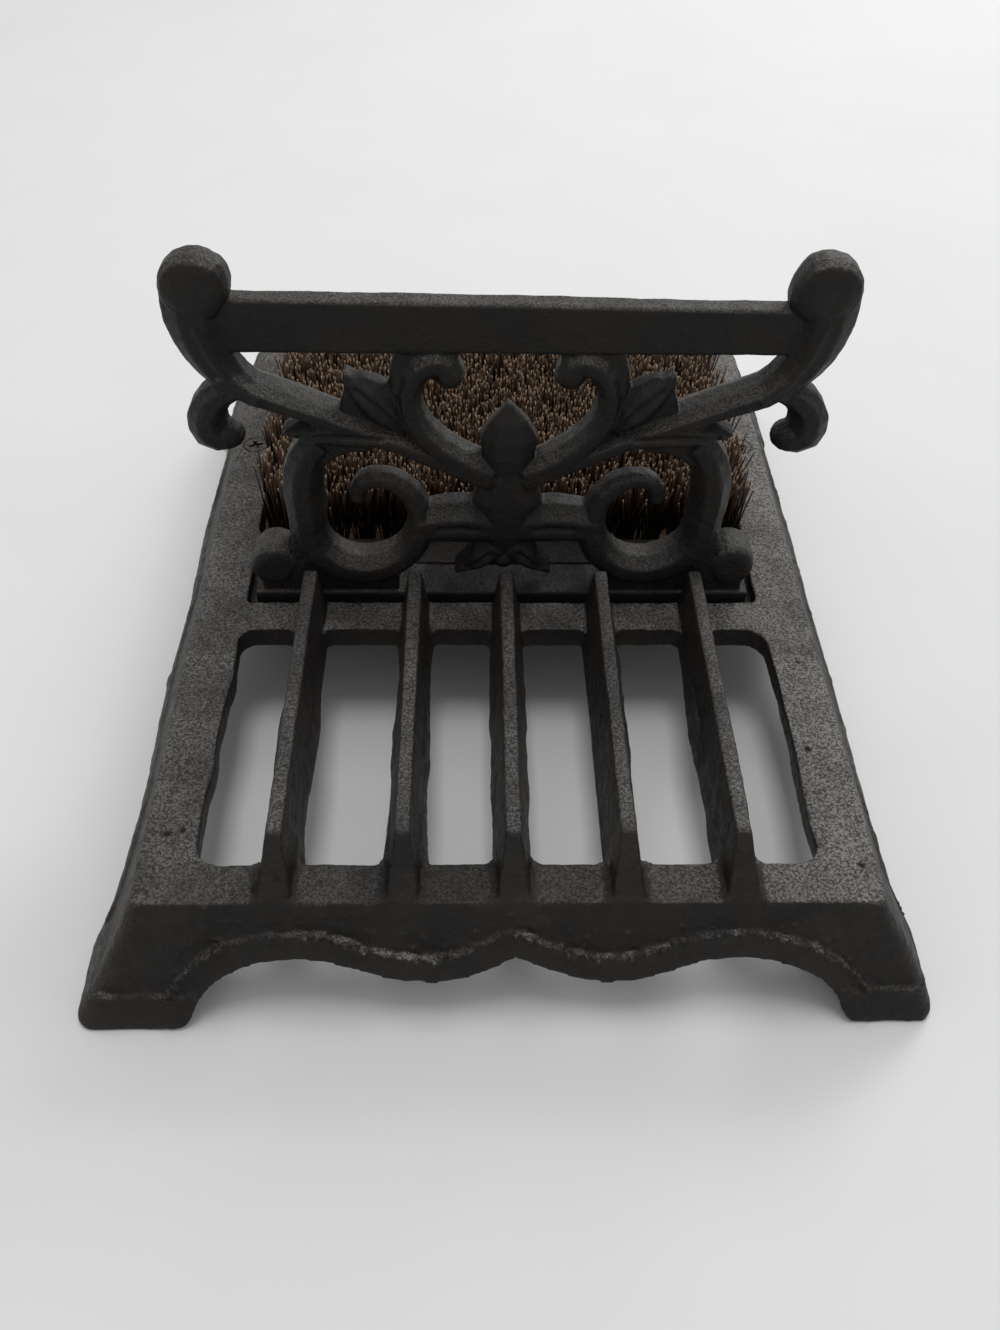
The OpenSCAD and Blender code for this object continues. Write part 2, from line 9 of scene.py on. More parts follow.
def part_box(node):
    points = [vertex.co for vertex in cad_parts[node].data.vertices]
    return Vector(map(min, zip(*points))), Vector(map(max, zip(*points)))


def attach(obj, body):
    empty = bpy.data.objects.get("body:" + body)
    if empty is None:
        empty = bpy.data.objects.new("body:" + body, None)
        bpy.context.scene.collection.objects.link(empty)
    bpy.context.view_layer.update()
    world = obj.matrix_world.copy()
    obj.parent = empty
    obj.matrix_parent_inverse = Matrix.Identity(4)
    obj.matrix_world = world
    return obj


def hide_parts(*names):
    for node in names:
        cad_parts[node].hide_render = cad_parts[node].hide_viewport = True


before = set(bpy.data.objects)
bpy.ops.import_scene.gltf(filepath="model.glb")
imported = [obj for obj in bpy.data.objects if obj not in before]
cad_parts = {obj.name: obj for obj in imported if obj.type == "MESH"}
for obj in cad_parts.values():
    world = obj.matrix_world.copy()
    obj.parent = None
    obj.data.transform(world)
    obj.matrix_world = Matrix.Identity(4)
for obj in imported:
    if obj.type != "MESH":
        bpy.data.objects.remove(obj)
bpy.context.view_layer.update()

# Base casting: the hollow plinth with its rim, aprons, feet and five blades, poured in one piece of grey iron.
# It comes rough from the sand, with wandering edges, blow holes and a broken seam of iron above the scallops,
# and was painted black; the faces that look up have worn to a speckled grey that also carries painted glints,
# and the blade toes and the strip behind the upright are kept dark as painted shade.

MM = 0.001
WELD_GAP = 0.01 * MM


def casting_from(node, name, grain_size, add_to=None):
    """A copy of a solid, with any forms added to it, as one skin of small even faces."""
    shell = bmesh.new()
    shell.from_mesh(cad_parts[node].data)
    bmesh.ops.remove_doubles(shell, verts=shell.verts, dist=WELD_GAP)
    if add_to:
        add_to(shell)
    rough_mesh = bpy.data.meshes.new(name + "_pattern")
    shell.to_mesh(rough_mesh)
    shell.free()
    pattern = bpy.data.objects.new(name + "_pattern", rough_mesh)
    bpy.context.collection.objects.link(pattern)
    skin = pattern.modifiers.new("skin", "REMESH")
    skin.mode = "VOXEL"
    skin.voxel_size = grain_size
    skin.use_smooth_shade = True
    poured = pattern.evaluated_get(bpy.context.evaluated_depsgraph_get())
    mesh = bpy.data.meshes.new_from_object(poured)
    mesh.name = name
    bpy.data.objects.remove(pattern)
    bpy.data.meshes.remove(rough_mesh)
    piece = bpy.data.objects.new(name, mesh)
    bpy.context.collection.objects.link(piece)
    return piece


WANDER_FINE, RIPPLE_FINE, TOOTH_FINE = 45, 190, 560
WANDER_START, RIPPLE_START, TOOTH_START = Vector((3.1, 7.7, 1.3)), Vector((11, 2, 5)), Vector((1, 9, 4))


def sand_cast(piece, rounds, wander, ripple, tooth, carve=None):
    """Takes the sharpness off the edges, then gives the skin its wander, ripple and tooth, in metres."""
    skin = bmesh.new()
    skin.from_mesh(piece.data)
    for _ in range(rounds):
        bmesh.ops.smooth_vert(skin, verts=skin.verts, factor=0.5, use_axis_x=True, use_axis_y=True, use_axis_z=True)
    skin.normal_update()
    moves = []
    for v in skin.verts:
        p = v.co
        lift = wander * noise.noise(p * WANDER_FINE + WANDER_START)
        lift += ripple * noise.noise(p * RIPPLE_FINE + RIPPLE_START)
        lift += tooth * noise.noise(p * TOOTH_FINE + TOOTH_START)
        step = v.normal * lift
        if carve:
            step += carve(p, v.normal)
        moves.append((v, step))
    for v, step in moves:
        v.co += step
        v.co.z = max(v.co.z, 0)
    for f in skin.faces:
        f.smooth = True
    skin.to_mesh(piece.data)
    skin.free()


MOST_TRIANGLES = 192000


def thin_skin(piece):
    """Fewer faces where the skin is plain, and none of them under the floor."""
    full = piece.data
    thin = piece.modifiers.new("thin", "DECIMATE")
    thin.ratio = min(1, MOST_TRIANGLES / (2 * len(full.polygons)))
    lean = bpy.data.meshes.new_from_object(piece.evaluated_get(bpy.context.evaluated_depsgraph_get()))
    lean.name = full.name + "_lean"
    for v in lean.vertices:
        v.co.z = max(v.co.z, 0)
    piece.modifiers.remove(thin)
    piece.data = lean
    bpy.data.meshes.remove(full)


def mark_wear_and_painted_light(piece, wear_at):
    """Writes, at each place of a casting, how far the paint has worn, together with the painted glints and painted
    shade carried in the same share.
    """
    wear_and_painted_light = piece.data.attributes.new("wear_and_painted_light", "FLOAT", "POINT")
    wear_and_painted_light.data.foreach_set("value", [wear_at(v.co.x / MM, v.co.y / MM, v.co.z / MM) for v in piece.data.vertices])


def shader_start(name):
    """A new material with its shader node and a way to add and wire others."""
    finish = bpy.data.materials.new(name)
    finish.use_nodes = True
    nodes = finish.node_tree.nodes
    surface = nodes["Principled BSDF"]

    def add(kind, **inputs):
        n = nodes.new(kind)
        for key, value in inputs.items():
            if key in n.bl_rna.properties and not n.bl_rna.properties[key].is_readonly:
                setattr(n, key, value)
            else:
                n.inputs[key.replace("_", " ")].default_value = value
        return n

    return finish, surface, add, finish.node_tree.links.new


def grain_noise(add, wire, fineness, detail, rough):
    """Noise from 0 to 1 that is fixed to the piece."""
    where = add("ShaderNodeTexCoord")
    grain = add("ShaderNodeTexNoise", Scale=fineness, Detail=detail, Roughness=rough)
    wire(where.outputs["Object"], grain.inputs["Vector"])
    return grain.outputs["Fac"]


def spread(add, wire, value, low, high, to_low=0.0, to_high=1.0):
    """A value stretched from one range to another and held at its ends."""
    r = add("ShaderNodeMapRange")
    r.inputs["From Min"].default_value = low
    r.inputs["From Max"].default_value = high
    r.inputs["To Min"].default_value = to_low
    r.inputs["To Max"].default_value = to_high
    wire(value, r.inputs["Value"])
    return r.outputs["Result"]


def blend_colours(add, wire, share, first, second):
    """The first colour giving way to the second as the share rises to 1."""
    m = add("ShaderNodeMix", data_type="RGBA")
    wire(share, m.inputs["Factor"])
    for socket, colour in ((m.inputs["A"], first), (m.inputs["B"], second)):
        if isinstance(colour, tuple):
            socket.default_value = (*colour, 1)
        else:
            wire(colour, socket)
    return m.outputs["Result"]


def multiply(add, wire, a, b):
    """Two shares taken together."""
    m = add("ShaderNodeMath", operation="MULTIPLY")
    for i, value in enumerate((a, b)):
        if isinstance(value, float):
            m.inputs[i].default_value = value
        else:
            wire(value, m.inputs[i])
    return m.outputs["Value"]


def black_iron_finish(name, paint, rust, bare_and_glint, up_from, up_to, tooth):
    """Old black paint on sand-cast iron: brown in places; where the face looks up, a speckled grey that is partly worn
    paint and partly painted glints, and edges lightened partly by rubbing and partly as painted highlights.
    """
    finish, surface, add, wire = shader_start(name)
    patches = spread(add, wire, grain_noise(add, wire, 45, 4, 0.6), 0.4, 0.66)
    colour = blend_colours(add, wire, patches, paint, rust)
    facing = add("ShaderNodeNewGeometry")
    parts = add("ShaderNodeSeparateXYZ")
    wire(facing.outputs["Normal"], parts.inputs["Vector"])
    upward = spread(add, wire, parts.outputs["Z"], up_from, up_to)
    wear_and_painted_light = add("ShaderNodeAttribute", attribute_name="wear_and_painted_light").outputs["Fac"]
    speckle = spread(add, wire, grain_noise(add, wire, 1600, 2, 0.6), 0.4, 0.64, 0.1, 1.0)
    cloud = spread(add, wire, grain_noise(add, wire, 60, 4, 0.6), 0.3, 0.7, 0.4, 1.0)
    # The speckled grey on faces that look up: partly paint worn to bare iron, partly painted glints; the per-place
    # share also holds painted shade.
    worn = multiply(add, wire, multiply(add, wire, upward, speckle), multiply(add, wire, cloud, wear_and_painted_light))
    colour = blend_colours(add, wire, worn, colour, bare_and_glint)
    # Sharp edges lightened: partly paint rubbed off, partly painted highlights along lit edges.
    edge = spread(add, wire, facing.outputs["Pointiness"], 0.54, 0.62)
    rubbed_and_lit_edges = multiply(add, wire, multiply(add, wire, edge, speckle), multiply(add, wire, wear_and_painted_light, 0.6))
    colour = blend_colours(add, wire, rubbed_and_lit_edges, colour, bare_and_glint)
    wire(colour, surface.inputs["Base Color"])
    sheen = spread(add, wire, grain_noise(add, wire, 300, 5, 0.6), 0.3, 0.7, 0.4, 0.62)
    wire(sheen, surface.inputs["Roughness"])
    surface.inputs["Specular IOR Level"].default_value = 0.23
    coarse = add("ShaderNodeBump", Strength=tooth, Distance=0.8 * MM)
    wire(grain_noise(add, wire, 380, 3, 0.6), coarse.inputs["Height"])
    fine = add("ShaderNodeBump", Strength=tooth, Distance=0.6 * MM)
    wire(grain_noise(add, wire, 900, 4, 0.65), fine.inputs["Height"])
    wire(coarse.outputs["Normal"], fine.inputs["Normal"])
    wire(fine.outputs["Normal"], surface.inputs["Normal"])
    return finish


# Places and heights of marks on both castings are in millimetres.
SEAM_OUT = 7
LOBE_LOW, CUSP_RISE, CROWN_RISE, CROWN_SHARE = 13, 7.5, 7.2, 0.55
EDGE_STEPS = 90


def scallop_seam(half, lobe):
    """Height of the seam outside a scalloped edge, by distance along the apron, for half its opening and one lobe."""
    crown = lobe + CROWN_SHARE * (half - lobe)
    edge = []
    for i in range(-EDGE_STEPS, EDGE_STEPS + 1):
        x = abs(half * math.sin(math.pi / 2 * i / EDGE_STEPS))
        if x < lobe:
            z = LOBE_LOW + CUSP_RISE * (1 - math.sin(math.pi / 2 * x / lobe))
        elif x < crown:
            z = LOBE_LOW + CROWN_RISE * (1 - math.cos(math.pi * (x - lobe) / (crown - lobe))) / 2
        else:
            z = (LOBE_LOW + CROWN_RISE) * math.sqrt(max(0, 1 - ((x - crown) / (half - crown)) ** 2))
        edge.append((math.copysign(x, i), z))
    reach = int(half) + SEAM_OUT + 1
    heights = {}
    for x in range(-reach, reach + 1):
        near = [z + math.sqrt(SEAM_OUT ** 2 - (x - ex) ** 2) for ex, z in edge if abs(x - ex) < SEAM_OUT]
        heights[x] = max(near or [0])
    return heights


def ridge(off, width):
    """A rounded ridge or groove: 1 on its line, falling away to nothing on both sides."""
    return math.exp(-(off / width) ** 2)


FRONT_HALF, SIDE_HALF = 85, 117.3
front_seam = scallop_seam(FRONT_HALF, 23)
side_seam = scallop_seam(SIDE_HALF, 46)
LEDGE_Z, SEAM_FROM_Z = 10.3, 11
SIDE_LUMPS = ((-106.5, -32.8), (-107.2, -71.8), (106.8, 20), (107, -55))


def apron_lift(x, y, z, along, seams, half, size):
    """The broken seam above the scallops, the ledge at the feet and a few lumps on the side walls."""
    seam = seams.get(round(along), 0)
    broken = noise.noise(Vector((along * 0.13, 0, y * 0.02)))
    broken += size * noise.noise(Vector((along * 0.7, z * 0.6, 5)))
    lump = min(1, max(0, 0.1 + 2.1 * broken))
    lift = 0
    if seam > 0 and z > SEAM_FROM_Z:
        off = z - seam - 0.8 * noise.noise(Vector((along * 0.2, 3, 0)))
        lift += 2 * size * lump * ridge(off, 0.75) + 0.35 * size * ridge(off, 0.9)
        if 0 < z - seam < SEAM_OUT:
            lift += 0.9 * size * max(0, noise.noise(Vector((along * 0.6, z * 0.6, 2))) - 0.15)
    if abs(along) > half - 3:
        lift += size * (0.35 + 0.7 * lump) * ridge(z - LEDGE_Z, 0.7)
    for lump_x, lump_y in SIDE_LUMPS:
        near = (x - lump_x) ** 2 + (y - lump_y) ** 2
        if near < 30:
            lift += 0.8 * math.exp(-near / 4)
    return lift


def cell_edge_lift(x, y):
    """The slow and quick waver of the blades and rails where they border a cell."""
    which = round(x / 14)
    slow = noise.noise(Vector((which * 3.7, y * 0.034, 1)))
    quick = noise.noise(Vector((which * 5.1, y * 0.1, 4)))
    return 1.2 * slow + 0.5 * quick


BLOW_HOLES = ((-64, -130.1, 1.5), (-89, -112.3, 1.0), (-85, -111.3, 0.8), (84.6, -82.6, 1.0), (88.4, -47, 0.8),
              (91, -123.1, 1.1), (-58, -131, 0.9))


def blow_hole_depth(x, y):
    """Small pits in the top of the rim."""
    depth = 0
    for hole_x, hole_y, size in BLOW_HOLES:
        near = (x - hole_x) ** 2 + (y - hole_y) ** 2
        if near < 9 * size:
            depth += size * math.exp(-near / (0.55 * size * size))
    return depth


FOOT_ROUND = 4.5
FOOT_MIDDLE_X, FOOT_HALF_X = 98, 12.5
FOOT_MIDDLE_Y, FOOT_HALF_Y = 132, 14.5


def foot_step(x, y, z):
    """The foot drawn in toward its middle just above the floor, most on its inner side."""
    inset = FOOT_ROUND - math.sqrt(max(0, FOOT_ROUND ** 2 - (FOOT_ROUND - z) ** 2))
    across = min(1, max(-1, (abs(x) - FOOT_MIDDLE_X) / FOOT_HALF_X)) ** 3
    deep = min(1, max(-1, (abs(y) - FOOT_MIDDLE_Y) / FOOT_HALF_Y)) ** 3
    side = 1 if x > 0 else -1
    end = 1 if y > 0 else -1
    return Vector((-side * inset * (across if across < 0 else 0.6 * across), -0.2 * inset * end * deep, 0))


def between(stops, at):
    """Value at one place along a line of (place, value) stops."""
    for (a, low), (b, high) in zip(stops, stops[1:]):
        if at < b:
            return low + (high - low) * max(0, at - a) / (b - a)
    return stops[-1][1]


APRON_SHIFT = ((-112, -2.0), (-98, 0.6), (-85, 2.7), (0, 2.6), (85, 3.2), (100, 2.6), (112, 1.3))
SHIFT_TOP, SHIFT_BACK = 32, -115
LEFT_FOOT_FORWARD = 1.3


def front_step(x, y, z):
    """The front apron set over to the right, and the left foot brought forward."""
    share = min(1, (SHIFT_TOP - z) / 18) * min(1, (SHIFT_BACK - y) / 10)
    forward = LEFT_FOOT_FORWARD * min(1, (-80 - x) / 8) if x < -80 else 0
    return Vector((share * between(APRON_SHIFT, x), -share * forward, 0))


RIM_UNDER, END_WALL_Y, SIDE_WALL_X, FACING_OUT = 33, 126, 90, 0.55
CELLS_HALF, CELLS_FRONT, CELLS_BACK, CELLS_UNDER, CELLS_TOP = 82, -124, -31, 28, 37
RIM_TOP_FROM = 35


def base_marks(p, n):
    """Seams, lumps, wavy edges and blow holes of the base, with its feet rounded and its front set over."""
    x, y, z = p.x / MM, p.y / MM, p.z / MM
    step = Vector((0, 0, 0))
    lift = 0
    if z < RIM_UNDER and abs(y) > END_WALL_Y and n.y * y > FACING_OUT * abs(y):
        lift += apron_lift(x, y, z, x, front_seam, FRONT_HALF, 1)
    elif z < RIM_UNDER and abs(x) > SIDE_WALL_X and n.x * x > FACING_OUT * abs(x):
        lift += apron_lift(x, y, z, y, side_seam, SIDE_HALF, 0.25)
    in_cells = abs(x) < CELLS_HALF and CELLS_FRONT < y < CELLS_BACK and CELLS_UNDER < z < CELLS_TOP
    if in_cells and abs(n.x) > 0.5:
        lift += cell_edge_lift(x, y)
    if z > RIM_TOP_FROM and n.z > 0.6:
        lift -= blow_hole_depth(x, y)
    if z < FOOT_ROUND:
        step += foot_step(x, y, z)
    if y < SHIFT_BACK and z < SHIFT_TOP:
        step += front_step(x, y, z)
    return (step + n * lift) * MM


BLADES = (-59, -26.9, 1, 29.9, 59)
# Shares along the blades, front rail and rim: the lows at the blade toes and toward the upright are painted shade, and
# the rise toward the right end is painted glints as well as wear.
BLADE_WEAR_AND_PAINTED_LIGHT = ((-123.6, 0.06), (-121, 0.9), (-80, 0.8), (-35, 0.45))
FRONT_RAIL_WEAR_AND_GLINTS = ((-95, 0.8), (-60, 0.5), (-20, 0.25), (20, 0.45), (60, 0.9), (95, 1.6))
RIM_WEAR_AND_GLINTS = ((-95, 1.0), (-82, 0.9), (0, 0.7), (82, 1.4), (95, 1.8))
WALLS_TOP, BLADES_FROM, WORN_LEDGE_Z = 34, 36.7, 10.6


def base_wear_and_painted_light(x, y, z):
    """Worn grey with painted glints, most on the right rail, along the blades and on the seam; the blade toes and the
    strip behind the upright are kept dark as painted shade.
    """
    if z < WALLS_TOP:
        seam = front_seam.get(round(x - 2.6), 0) if abs(y) > 130 else 0
        patchy = max(0, 0.5 + 1.6 * noise.noise(Vector((x * 0.3, y * 0.3, z * 0.3))))
        # Painted glints along the broken seam above the scallops.
        if abs(z - seam) < 1.6 and z > SEAM_FROM_Z:
            return 0.3 + patchy
        return 0.3 + 0.8 * patchy if abs(z - WORN_LEDGE_Z) < 1.2 and x < 0 else 0.4
    # Painted shade on the strip of cross rail behind the upright, under the bristles.
    if abs(x) < 80 and -5 < y < 14:
        return 0.12
    if z > BLADES_FROM:
        return between(BLADE_WEAR_AND_PAINTED_LIGHT, y)
    # Painted shade at the toes of the blades on the front rail.
    if y < -122.8 and min(abs(x - blade) for blade in BLADES) < 5.8:
        return 0.06
    if any((x - hole_x) ** 2 + (y - hole_y) ** 2 < 0.9 * size for hole_x, hole_y, size in BLOW_HOLES):
        return 0
    return between(FRONT_RAIL_WEAR_AND_GLINTS if y < -122 else RIM_WEAR_AND_GLINTS, x)


base = casting_from("base_casting", "base_casting_rough", 0.6 * MM)
sand_cast(base, 2, 0.3 * MM, 0.2 * MM, 0.13 * MM, base_marks)
thin_skin(base)
base_iron = black_iron_finish(
    "base_iron", paint=(0.01, 0.0088, 0.008), rust=(0.02, 0.015, 0.012), bare_and_glint=(0.22, 0.21, 0.197),
    up_from=0.35, up_to=0.95, tooth=0.9)
mark_wear_and_painted_light(base, base_wear_and_painted_light)
base.data.materials.append(base_iron)
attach(base, "root")
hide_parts("base_casting")

# Scraper upright: the second casting, a foot bar with scrolls, leaves, a bud and the straight scraper bar.
# It stands in the seat of the cross rail and is held from below. Its skin is finer than the base's, its leaves
# are creased, it leans a little to the right, and the bar is worn lower toward its right end.

UPPER_LOBE = ((46, 112.6), (46.2, 107.5), (47.4, 103.6), (48, 99), (34, 94), (36, 103), (42, 110))
LOWER_LOBE = ((57, 92), (55.5, 83), (53.5, 83.4), (50, 86.3), (46, 87.9), (41, 88.2), (37, 90.5), (42, 93), (50, 94.5))


def widen_leaves(shell):
    """The broad outer lobe of each upper leaf, down to the arm, and the full lower edge of each lower leaf."""
    low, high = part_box("scraper_upright")
    for outline, depth in ((UPPER_LOBE, 5.4 * MM), (LOWER_LOBE, 8 * MM)):
        front = (low.y + high.y - depth) / 2
        for side in (1, -1):
            edge = [shell.verts.new((side * x * MM, front, z * MM)) for x, z in outline]
            grown = bmesh.ops.extrude_face_region(shell, geom=[shell.faces.new(edge)])["geom"]
            back = [g for g in grown if isinstance(g, bmesh.types.BMVert)]
            bmesh.ops.translate(shell, vec=(0, depth, 0), verts=back)


def gap_to(line, x, z):
    """Distance from a place on the upright's front to a line of points."""
    best = math.inf
    for (ax, az), (bx, bz) in zip(line, line[1:]):
        dx, dz = bx - ax, bz - az
        t = min(1, max(0, ((x - ax) * dx + (z - az) * dz) / (dx * dx + dz * dz)))
        best = min(best, math.hypot(x - ax - t * dx, z - az - t * dz))
    return best


LEAF_CREASES = (
    ((30, 95), (33.5, 100), (37.5, 104.5), (43, 108.5)),
    ((36, 93.5), (45, 94.6), (53, 94.4), (60, 93.4)),
    ((9, 61.5), (14, 62.3), (20, 61.8)),
    ((5, 52), (8, 49), (11.5, 45.8)),
    ((27, 92), (30.5, 99), (31.8, 106)))
NECK_RIDGE = ((84.5, 129), (82, 121), (77.5, 113), (70.5, 107))
SKIN_SWELL = 0.3
LEAN = 1.1
BAR_UNDER, BAR_TALL, BAR_HALF = 119.5, 14.5, 79
BAR_WEAR = ((-76, -1.0), (0, 0.1), (76, 1.6))


def upright_marks(p, n):
    """Leaf creases on both faces, ridges on the necks, the lean of the upright and the wear of its bar."""
    x, z = p.x / MM, p.z / MM
    out = abs(x)
    lift = SKIN_SWELL
    if abs(n.y) > 0.45 and 43 < z < 112 and out < 66:
        lift -= 0.95 * ridge(min(gap_to(line, out, z) for line in LEAF_CREASES), 0.8)
    if n.y < -0.3 and z > 100 and out > 66:
        lift += 0.7 * ridge(gap_to(NECK_RIDGE, out, z), 0.9)
    lean = LEAN * min(1, max(0, (z - 42) / 25))
    drop = 0
    if z > BAR_UNDER and out < BAR_HALF:
        drop = between(BAR_WEAR, x) * (z - BAR_UNDER) / BAR_TALL * min(1, (BAR_HALF - out) / 4)
    return (n * lift + Vector((lean, 0, -drop))) * MM


ARM_LINE = ((78, 112), (72, 107), (51, 99), (30, 90.3), (5, 77.5))


def upright_wear_and_painted_light(x, y, z):
    """Worn grey with painted highlights along the bar, arms, branches and volutes, where light catches them, and
    hardly any at the leaves and the hub.
    """
    out = abs(x - 1)
    if z > 112:
        return 0.75
    if gap_to(ARM_LINE, out, z) < 3.8 and out > 14:
        return 0.55
    if out > 25 and z > 89:
        return 0.12 if out < 66 else 0.5
    if z > 76:
        return 0.5 if out > 9 else 0.3
    return 0.55 if out > 26 or (out > 10 and z > 62) else 0.08


upright = casting_from("scraper_upright", "scraper_upright_rough", 0.5 * MM, widen_leaves)
sand_cast(upright, 1, 0.25 * MM, 0.14 * MM, 0.08 * MM, upright_marks)
thin_skin(upright)
upright_iron = black_iron_finish(
    "upright_iron", paint=(0.009, 0.0083, 0.008), rust=(0.015, 0.0125, 0.0105), bare_and_glint=(0.17, 0.16, 0.146),
    up_from=0.4, up_to=0.8, tooth=0.6)
mark_wear_and_painted_light(upright, upright_wear_and_painted_light)
upright.data.materials.append(upright_iron)
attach(upright, "root")
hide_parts("scraper_upright")

# Upright bolts and washers: two hexagon bolts with plain washers, driven up through bosses under the cross rail.
# Dull steel that has browned under the plinth.


def dull_steel_finish(name, clean, brown):
    """Plain steel with brown stains."""
    finish, surface, add, wire = shader_start(name)
    stains = spread(add, wire, grain_noise(add, wire, 260, 5, 0.65), 0.4, 0.62)
    wire(blend_colours(add, wire, stains, clean, brown), surface.inputs["Base Color"])
    surface.inputs["Metallic"].default_value = 0.6
    wire(spread(add, wire, grain_noise(add, wire, 700, 4, 0.6), 0.3, 0.7, 0.4, 0.7), surface.inputs["Roughness"])
    bump = add("ShaderNodeBump", Strength=0.3, Distance=0.2 * MM)
    wire(grain_noise(add, wire, 1400, 4, 0.6), bump.inputs["Height"])
    wire(bump.outputs["Normal"], surface.inputs["Normal"])
    return finish


browned_steel = dull_steel_finish("browned_steel", clean=(0.2, 0.19, 0.18), brown=(0.07, 0.045, 0.03))
for node, grain_size in (("upright_bolts", 0.3 * MM), ("upright_washers", 0.25 * MM)):
    fastener = casting_from(node, node + "_worn", grain_size)
    sand_cast(fastener, 1, 0, 0, 0.02 * MM)
    fastener.data.materials.append(browned_steel)
    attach(fastener, "root")
    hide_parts(node)

# Brush block: a plain wooden board under the rear opening, sunk in the middle for the bristles.
# Sawn softwood, stained dark by wet dirt, with its grain along the board.

FLAT_ANGLE, SHARP_ANGLE = 0.02, 1.2
board = bmesh.new()
board.from_mesh(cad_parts["brush_block"].data)
bmesh.ops.remove_doubles(board, verts=board.verts, dist=WELD_GAP)
bmesh.ops.dissolve_limit(board, angle_limit=FLAT_ANGLE, verts=board.verts, edges=board.edges)
sharp = [e for e in board.edges if len(e.link_faces) == 2 and e.calc_face_angle() > SHARP_ANGLE]
bmesh.ops.bevel(board, geom=sharp, offset=0.5 * MM, segments=2, profile=0.5, affect="EDGES", material=-1)
board_mesh = bpy.data.meshes.new("brush_board")
board.to_mesh(board_mesh)
board.free()
brush_board = bpy.data.objects.new("brush_board", board_mesh)
bpy.context.collection.objects.link(brush_board)


def stained_wood_finish(name, pale, dark):
    """Sawn wood with long streaks of stain."""
    finish, surface, add, wire = shader_start(name)
    where = add("ShaderNodeTexCoord")
    along = add("ShaderNodeMapping")
    along.inputs["Scale"].default_value = (9, 160, 160)
    rings = add("ShaderNodeTexNoise", Scale=3, Detail=6, Roughness=0.65)
    wire(where.outputs["Object"], along.inputs["Vector"])
    wire(along.outputs["Vector"], rings.inputs["Vector"])
    streak = spread(add, wire, rings.outputs["Fac"], 0.35, 0.65)
    wire(blend_colours(add, wire, streak, pale, dark), surface.inputs["Base Color"])
    wire(spread(add, wire, rings.outputs["Fac"], 0.3, 0.7, 0.6, 0.8), surface.inputs["Roughness"])
    bump = add("ShaderNodeBump", Strength=0.35, Distance=0.4 * MM)
    wire(rings.outputs["Fac"], bump.inputs["Height"])
    wire(bump.outputs["Normal"], surface.inputs["Normal"])
    return finish


stained_board = stained_wood_finish("stained_board", pale=(0.16, 0.1, 0.055), dark=(0.06, 0.035, 0.019))
brush_board.data.materials.append(stained_board)
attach(brush_board, "root")
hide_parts("brush_block")

# Bristles: stiff brown fibres set in rows in the board, standing up through the rear opening. They lean out over
# the right rail, are worn away in the front left corner, and have pale cut tips, with painted glints, on dark brown
# shafts that darken further toward the roots as painted shade.

FIBRE_RADIUS = 0.26 * MM
FIBRE_SIDES, FIBRE_LEVELS = 5, 3
FIBRE_BENDS = (-2.4, -1.2, -0.3, 0.5, 1.4, 2.5)
fibre_shapes = []
for bend in FIBRE_BENDS:
    fibre = bmesh.new()
    bmesh.ops.create_circle(fibre, cap_ends=True, radius=1, segments=FIBRE_SIDES)
    top = list(fibre.faces)
    for level in range(1, FIBRE_LEVELS + 1):
        grown = bmesh.ops.extrude_face_region(fibre, geom=top)["geom"]
        bmesh.ops.delete(fibre, geom=top, context="FACES")
        top = [g for g in grown if isinstance(g, bmesh.types.BMFace)]
        ring = [g for g in grown if isinstance(g, bmesh.types.BMVert)]
        rise = (bend * (2 * level - 1) / FIBRE_LEVELS, 0, 1 / FIBRE_LEVELS)
        bmesh.ops.translate(fibre, vec=rise, verts=ring)
    bmesh.ops.recalc_face_normals(fibre, faces=fibre.faces)
    shape = bpy.data.meshes.new("fibre_shape")
    fibre.to_mesh(shape)
    fibre.free()
    fibre_shapes.append(shape)


def fibre_finish(name, dirt, root, shaft, pale_tip_and_glint):
    """Fibres from a root darkened as painted shade to a brown shaft and a pale cut tip that also carries painted
    glints, each more or less dirty.
    """
    finish, surface, add, wire = shader_start(name)
    tone = add("ShaderNodeAttribute", attribute_name="fibre_tone").outputs["Fac"]
    height = add("ShaderNodeAttribute", attribute_name="fibre_height").outputs["Fac"]
    # Darker toward the roots: painted shade between the close-set fibres.
    colour = blend_colours(add, wire, spread(add, wire, height, 0.45, 1.0), root, shaft)
    dark = blend_colours(add, wire, spread(add, wire, tone, 0, 1, 0, 0.75), colour, dirt)
    # The pale tip: the cut end's own colour with painted glints on it.
    end = spread(add, wire, height, 0.955, 0.99)
    pale = multiply(add, wire, end, spread(add, wire, tone, 0.1, 0.75, 1, 0.12))
    wire(blend_colours(add, wire, pale, dark, pale_tip_and_glint), surface.inputs["Base Color"])
    surface.inputs["Roughness"].default_value = 0.5
    surface.inputs["Specular IOR Level"].default_value = 0.3
    return finish


brown_fibre = fibre_finish(
    "brown_fibre", dirt=(0.012, 0.0085, 0.0055), root=(0.01, 0.0065, 0.0042), shaft=(0.074, 0.034, 0.0145),
    pale_tip_and_glint=(0.34, 0.235, 0.14))
ROWS, TUFTS, FIBRES = 10, 18, 42
ROW_PITCH = 10.68 * MM
FIELD_HALF = 78.6 * MM
FIELD_FRONT = 14.6 * MM
FIELD_MIDDLE, FIELD_DEEP = 68 * MM, 54 * MM
ROOT_Z = 27.6 * MM
TUFT_RADIUS = 3.6 * MM
TUFT_SPLAY = 16
LEAN_SCATTER = 0.1
LEAN_DRIFT, DRIFT_FINE, DRIFT_START = 0.1, 90, Vector((7, 3, 0))
RIGHT_LEAN, LEFT_LEAN, END_LEAN = 0.14, 0.03, 0.05
EDGE_BAND = 9 * MM
EDGE_LEAN_IN, EDGE_LEAN_OUT = -0.05, 0.16
